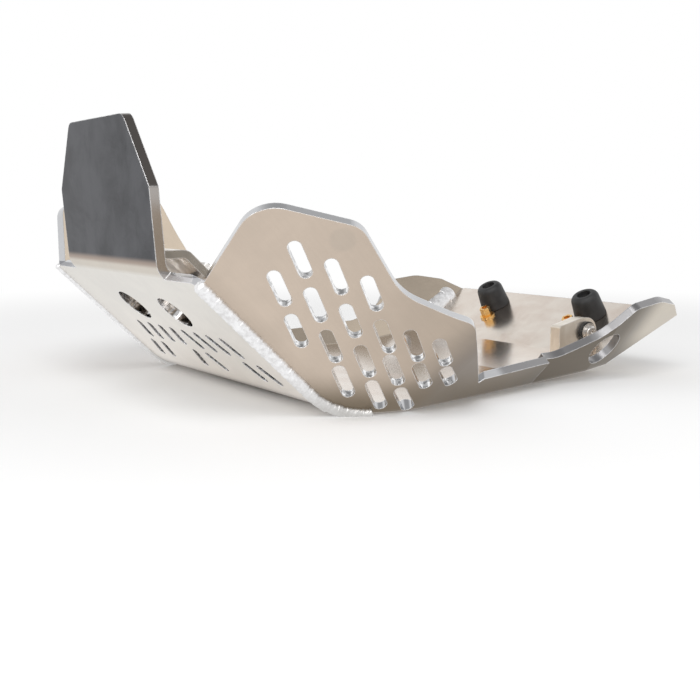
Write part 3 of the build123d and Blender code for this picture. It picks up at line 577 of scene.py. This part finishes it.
def lobe_surface(down, out, depth):
    """Point of the lobe: down along its bend line and out from it, where the sheet turns inward evenly over
    the roll and then runs straight; depth is measured inward from the outer face."""
    normal = WING_FACE / np.linalg.norm(WING_FACE)
    level = np.cross([0, 0, 1], normal)
    level /= np.linalg.norm(level)
    rise = np.cross(normal, level)
    fall = level * LOBE_FALL[0] - rise * LOBE_FALL[1]
    leave = level * LOBE_FALL[1] + rise * LOBE_FALL[0]
    start = SEAM_START + level * LOBE_START[0] + rise * LOBE_START[1]
    turned = LOBE_TURN * np.clip(out / LOBE_ROLL, 0, 1)
    radius = LOBE_ROLL / LOBE_TURN
    past = np.maximum(out - LOBE_ROLL, 0)
    straight = np.minimum(out, 0) + radius * np.sin(turned) + past * np.cos(turned)
    inward = radius * (1 - np.cos(turned)) + past * np.sin(turned)
    facing = normal * np.cos(turned)[..., None] + leave * np.sin(turned)[..., None]
    return (start + fall * down[..., None] + leave * straight[..., None] - normal * inward[..., None]
            - facing * depth)


root, edge = softened(LOBE_ROOT, LOBE_STEPS), softened(LOBE_EDGE, LOBE_STEPS)
share = np.linspace(0, 1, LOBE_SPREAD)[None, :, None]
spread = root[:, None] * (1 - share) + edge[:, None] * share
outer = lobe_surface(spread[..., 0], spread[..., 1], LOBE_INSET)
inner = lobe_surface(spread[..., 0], spread[..., 1], GAUGE - LOBE_INSET)
rings = np.concatenate([outer, inner[:, ::-1]], 1) * np.array([-1, 1, 1])
lobe = closed_tube("far_wing_lobe", rings, rings[[0, -1]].mean(1), smooth=False)
lobe.data.materials.append(sheet_finish)
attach(lobe, "root")

# Corner welds: inside, where each flange was slit to fold the tail, a short row of fat puddles in the same
# filler runs along the foot of the splayed flange.
FLANGE_TURN = np.radians(53)
TAIL_TURN = np.radians(28)
TAIL_SPLAY = np.radians(11)
TAIL_START = np.array([0.108, 0.154, 0.00647])
TAIL_FACE = np.array([0, -np.sin(TAIL_TURN), np.cos(TAIL_TURN)])
CORNER_FROM = 0.016
CORNER_TO = 0.060
CORNER_RAISED = 0.0062
CORNER_STEPS = 200
CORNER_BEAD_R = 0.0068
CORNER_PUDDLE = 0.0065
CORNER_FLAT = 0.33


def fold_line(first, last, raised, count):
    """Line just above the inner corner of tail and splayed flange: along the cross product of their normals,
    from the point that lies a gauge inside both, raised up the flange, in even steps from first to last."""
    tail_up = np.array([0, np.cos(TAIL_TURN), np.sin(TAIL_TURN)])
    aside = np.array([np.cos(TAIL_SPLAY), 0, 0]) - tail_up * np.sin(TAIL_SPLAY)
    splayed = aside * np.sin(FLANGE_TURN) - TAIL_FACE * np.cos(FLANGE_TURN)
    way = np.cross(TAIL_FACE, splayed)
    way *= np.sign(way[1]) / np.linalg.norm(way)
    up = np.cross(way, splayed)
    up *= np.sign(up[2])
    shift = np.linalg.solve(np.array([splayed, TAIL_FACE, [0, 1, 0]]), np.array([-GAUGE, GAUGE, 0]))
    at = np.linspace(0, last - first, count)
    return TAIL_START + shift + up * raised + way * (first + at)[:, None], at, -splayed


for name, side in (("corner_weld_left", 1), ("corner_weld_right", -1)):
    line, at, crown = fold_line(CORNER_FROM, CORNER_TO, CORNER_RAISED, CORNER_STEPS)
    bead = weld_bead(name, side, line, at, crown, CORNER_BEAD_R, CORNER_PUDDLE, flat=CORNER_FLAT)
    bead.data.materials.append(weld_finish)
    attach(bead, "root")

# Front bridge: a bent strip of aluminium in the corner of upright and slope, which clamps to the
# frame. Sanded by hand, so it is greyer than the sheet and blotched.
BRIDGE_DARK = (0.55, 0.505, 0.46)
BRIDGE_PALE = (0.95, 0.90, 0.84)
BRIDGE_ENDS_PAINTED_SHADE = (0.25, 0.235, 0.21)
BRIDGE_END_SHADE_SHARE = 0.85
BRIDGE_WORN = (0.90, 0.90, 0.90)

bridge_finish, tree, shader = finish_of("sanded_bridge")
grain, worn = grain_and_wear(tree, 0.0009, Across=300.0, Along=120.0, Clouds=60.0)
colour = blend_colour(tree, grain["Cloud"], BRIDGE_DARK, BRIDGE_PALE)
# Faces that point sideways, the bridge's ends, are darker: painted shade.
aside = split(tree, put(tree, "ShaderNodeNewGeometry").outputs["Normal"])["X"]
ends = ramp(tree, reckon(tree, "ABSOLUTE", aside), 0.5, 0.8, 0.0, BRIDGE_END_SHADE_SHARE)
colour = blend_colour(tree, ends, colour, BRIDGE_ENDS_PAINTED_SHADE)
colour = blend_colour(tree, worn["Wear"], colour, BRIDGE_WORN)
rough = ramp(tree, grain["Cloud"], 0.0, 1.0, 0.42, 0.26)
feed(tree, shader, colour, rough, grain["Height"], (0.2, 0.0003))
dress(["front_bridge"], bridge_finish)

# Rear tab: a thick plate with a rounded top, which stands on the bottom and is welded at its foot.
# It is paler than the bridge, because it was brushed clean after welding.
TAB_DARK = (0.76, 0.70, 0.62)
TAB_PALE = (0.92, 0.87, 0.80)
TAB_WORN = (0.93, 0.93, 0.93)

tab_finish, tree, shader = finish_of("brushed_tab")
grain, worn = grain_and_wear(tree, 0.0009, Across=250.0, Along=900.0, Clouds=50.0)
colour = blend_colour(tree, grain["Cloud"], TAB_DARK, TAB_PALE)
colour = blend_colour(tree, worn["Wear"], colour, TAB_WORN)
rough = ramp(tree, grain["Cloud"], 0.0, 1.0, 0.40, 0.30)
feed(tree, shader, colour, rough, grain["Height"], (0.1, 0.0002))
dress(["rear_tab"], tab_finish)


# Plated fasteners: bolts, washers, nuts and the rests' screws, of turned steel. They are plated with
# bright zinc, which handling dulled in patches.
def plated_finish(name, scale, detail, dull, bright, worn_radius, worn_colour, rough):
    """Plating: a noise of soft patches mixes its two colours and its roughness, and corners are worn."""
    material, tree, shader = finish_of(name)
    patches = noise(tree, spot_of(tree), scale, detail)
    worn = put(tree, "ShaderNodeGroup", {"Radius": worn_radius}, node_tree=WORN_CORNERS).outputs
    colour = blend_colour(tree, ramp(tree, patches, 0.35, 0.65), dull, bright)
    colour = blend_colour(tree, worn["Wear"], colour, worn_colour)
    feed(tree, shader, colour, ramp(tree, patches, 0.3, 0.7, *rough), patches, (0.03, 0.0001))
    return material


steel_finish = plated_finish("zinc_plated_steel", scale=380.0, detail=4.0, dull=(0.46, 0.44, 0.42),
                             bright=(0.68, 0.66, 0.64), worn_radius=0.0005,
                             worn_colour=(0.92, 0.91, 0.90), rough=(0.18, 0.34))
dress(["front_bolts", "front_washers", "front_nuts", "bumper_screw_left", "bumper_screw_right", "tab_bolt",
       "tab_washer", "tab_nut"], steel_finish)

# Rests: two tapered rubber cones, moulded with a sunk hole for their screw, and the rubber ring of
# the rear tab. Black rubber with a fine moulded skin and a grey bloom.
RUBBER_BLACK = (0.014, 0.014, 0.015)
RUBBER_BLOOM = (0.035, 0.035, 0.036)
RUBBER_WORN = (0.05, 0.05, 0.05)
REST_SPOT = np.array([0.055, 0.197])
REST_TOP = 0.0205
REST_FOOT_R = 0.0127
REST_FOOT_ROUND = 0.0006
REST_SHOULDER = np.array([0.0113, 0.0150])
REST_CROWN_R = 0.0070
REST_MOUTH_R = 0.0054
REST_LIP = 0.0007
REST_FLOOR = 0.0135
REST_BORE_R = 0.0030
REST_NICK = 0.0002
REST_AROUND = 72
SHOULDER_STEPS = 14
REST_SIDE_STEPS = 12

rubber_finish, tree, shader = finish_of("black_rubber")
spot = spot_of(tree)
skin = noise(tree, spot, 1400.0, 3.0)
bloom = noise(tree, spot, 120.0, 5.0, Roughness=0.65)
worn = put(tree, "ShaderNodeGroup", {"Radius": 0.0010}, node_tree=WORN_CORNERS).outputs
colour = blend_colour(tree, ramp(tree, bloom, 0.4, 0.75), RUBBER_BLACK, RUBBER_BLOOM)
colour = blend_colour(tree, worn["Wear"], colour, RUBBER_WORN)
feed(tree, shader, colour, ramp(tree, bloom, 0.3, 0.7, 0.42, 0.6), skin, (0.25, 0.0001), metallic=0.0)
dress(["bumper_left", "bumper_right", "tab_rubber_ring"], rubber_finish)


def turned_ring(name, profile, spot, axis):
    """Solid of revolution: a closed profile of radius and height, turned about an axis through a spot."""
    steps, around = len(profile), REST_AROUND
    aside = np.array([1.0, 0, 0])
    other = np.cross(axis, aside)
    angle = np.linspace(0, 2 * np.pi, around, endpoint=False)
    spokes = np.cos(angle)[:, None] * aside + np.sin(angle)[:, None] * other
    points = spot + profile[:, None, :1] * spokes + profile[:, None, 1:] * axis
    step, turn = np.meshgrid(np.arange(steps), np.arange(around), indexing="ij")
    later, after = (step + 1) % steps, (turn + 1) % around
    quads = np.stack([step * around + turn, step * around + after, later * around + after,
                      later * around + turn], -1)
    return new_piece(name, points.reshape(-1, 3), quads.reshape(-1, 4).tolist())


def rest_profile():
    """Rest in section: a leaning side, a shoulder that is a quarter ellipse, a rounded mouth, the sunk hole
    with its floor and the bore, closed along the foot."""
    quarter = np.linspace(0, np.pi / 2, SHOULDER_STEPS)
    shoulder = np.column_stack([REST_CROWN_R + (REST_SHOULDER[0] - REST_CROWN_R) * np.cos(quarter),
                                REST_SHOULDER[1] + (REST_TOP - REST_SHOULDER[1]) * np.sin(quarter)])
    mouth = np.column_stack([REST_MOUTH_R + REST_LIP - REST_LIP * np.sin(quarter),
                             REST_TOP - REST_LIP + REST_LIP * np.cos(quarter)])
    wall = np.array([[REST_MOUTH_R, REST_FLOOR + REST_NICK], [REST_MOUTH_R - REST_NICK, REST_FLOOR],
                     [REST_BORE_R + REST_NICK, REST_FLOOR], [REST_BORE_R, REST_FLOOR - REST_NICK]])
    foot = np.array([[REST_BORE_R, REST_NICK], [REST_BORE_R + REST_NICK, 0.0],
                     [REST_FOOT_R - REST_FOOT_ROUND, 0.0], [REST_FOOT_R - REST_FOOT_ROUND / 4, REST_NICK],
                     [REST_FOOT_R, REST_FOOT_ROUND]])
    side = np.linspace([REST_FOOT_R, REST_FOOT_ROUND + REST_NICK], REST_SHOULDER, REST_SIDE_STEPS)[:-1]
    return np.concatenate([side, shoulder, mouth, wall, foot])


rise = TAIL_START[2] + (REST_SPOT[1] - TAIL_START[1]) * np.tan(TAIL_TURN) + GAUGE / np.cos(TAIL_TURN)
for name, side, node in (("rest_left", 1, "bumper_left"), ("rest_right", -1, "bumper_right")):
    rest = turned_ring(name, rest_profile(), np.array([side * REST_SPOT[0], REST_SPOT[1], rise]), TAIL_FACE)
    rest.data.materials.append(rubber_finish)
    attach(rest, "root")
    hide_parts(node)

# Rear bolts: one flanged bolt on each side of the tail, of steel. They are plated in yellow zinc,
# which is golden, with paler clouds.
yellow_finish = plated_finish("yellow_zinc", scale=240.0, detail=3.0, dull=(0.80, 0.47, 0.15),
                              bright=(0.90, 0.60, 0.26), worn_radius=0.0004,
                              worn_colour=(0.95, 0.80, 0.50), rough=(0.2, 0.32))
dress(["rear_bolt_left", "rear_bolt_right"], yellow_finish)

# Floor: a plain pale table top that the plate stands on. It keeps the shadow near the plate, and far
# from it the camera and the metal's reflections see plain white.
FLOOR_HALF = 30
FLOOR_PALE = (0.93, 0.93, 0.93, 1.0)
WHITE_FROM = (0.40, 0.90)
MIRRORED_WHITE_FROM = (0.06, 0.20)

corners = np.array([(-1, -1, 0), (1, -1, 0), (1, 1, 0), (-1, 1, 0)]) * FLOOR_HALF
floor = new_piece("floor", corners, [(0, 1, 2, 3)], smooth=False)
floor_finish, tree, shader = finish_of("pale_floor")
shader.inputs["Base Color"].default_value = FLOOR_PALE
shader.inputs["Roughness"].default_value = 0.9
shader.inputs["Specular IOR Level"].default_value = 0.0
glow = put(tree, "ShaderNodeEmission", {"Color": (1, 1, 1, 1), "Strength": 1.0})
rays = put(tree, "ShaderNodeLightPath").outputs
away = put(tree, "ShaderNodeVectorMath", {0: spot_of(tree)}, operation="LENGTH").outputs["Value"]
seen = reckon(tree, "MULTIPLY", ramp(tree, away, *WHITE_FROM), rays["Is Camera Ray"])
mirrored = reckon(tree, "MAXIMUM", rays["Is Glossy Ray"], rays["Is Transmission Ray"])
mirrored = reckon(tree, "MULTIPLY", ramp(tree, away, *MIRRORED_WHITE_FROM), mirrored)
both = put(tree, "ShaderNodeMixShader", {0: reckon(tree, "MAXIMUM", seen, mirrored), 1: shader.outputs[0],
                                         2: glow.outputs[0]})
tree.links.new(both.outputs[0], tree.nodes["Material Output"].inputs["Surface"])
floor.data.materials.append(floor_finish)

# Light: an even pale room with a greyer ceiling. One wide soft lamp hangs above the near side, and
# one stands low in front.
CEILING_HEIGHTS = (0.60, 0.88)
CEILING_GREY = 0.45
LAMPS = {"overhead": {"spot": (0.75, -0.55, 1.35), "aim": (0, 0, 0), "size": 1.0, "power": 8.5},
         "front": {"spot": (0.5, -1.4, 0.6), "aim": (0, 0, 0.05), "size": 0.7, "power": 3.0}}

world = bpy.data.worlds.new("pale_room")
bpy.context.scene.world = world
world.use_nodes = True
tree = world.node_tree
height = split(tree, put(tree, "ShaderNodeTexCoord").outputs["Generated"])["Z"]
background = tree.nodes["Background"].inputs
tree.links.new(ramp(tree, height, *CEILING_HEIGHTS, 1.0, CEILING_GREY), background["Strength"])
background["Color"].default_value = (1, 1, 1, 1)
for name, lamp in LAMPS.items():
    data = bpy.data.lights.new(name, "AREA")
    data.shape = "DISK"
    data.size = lamp["size"]
    data.energy = lamp["power"]
    holder = bpy.data.objects.new(name, data)
    holder.location = lamp["spot"]
    holder.rotation_euler = (Vector(lamp["aim"]) - Vector(lamp["spot"])).to_track_quat("-Z", "Y").to_euler()
    bpy.context.scene.collection.objects.link(holder)

# Camera: at the photograph's place, turned 54.6 degrees to the left side and 8.2 degrees down. Its
# focal length is 1000 pixels of a picture that is 700 pixels wide.
CAMERA_SPOT = (0.5955, -0.425, 0.1235)
VIEW = Vector((-0.8068, 0.5734, -0.1425))
SENSOR_WIDTH = 36.0
LENS = 51.43

lens = bpy.data.cameras.new("camera")
lens.sensor_width = SENSOR_WIDTH
lens.lens = LENS
camera = bpy.data.objects.new("camera", lens)
camera.location = CAMERA_SPOT
camera.rotation_euler = VIEW.to_track_quat("-Z", "Y").to_euler()
bpy.context.scene.collection.objects.link(camera)
bpy.context.scene.camera = camera
bpy.context.scene.view_settings.view_transform = "Standard"
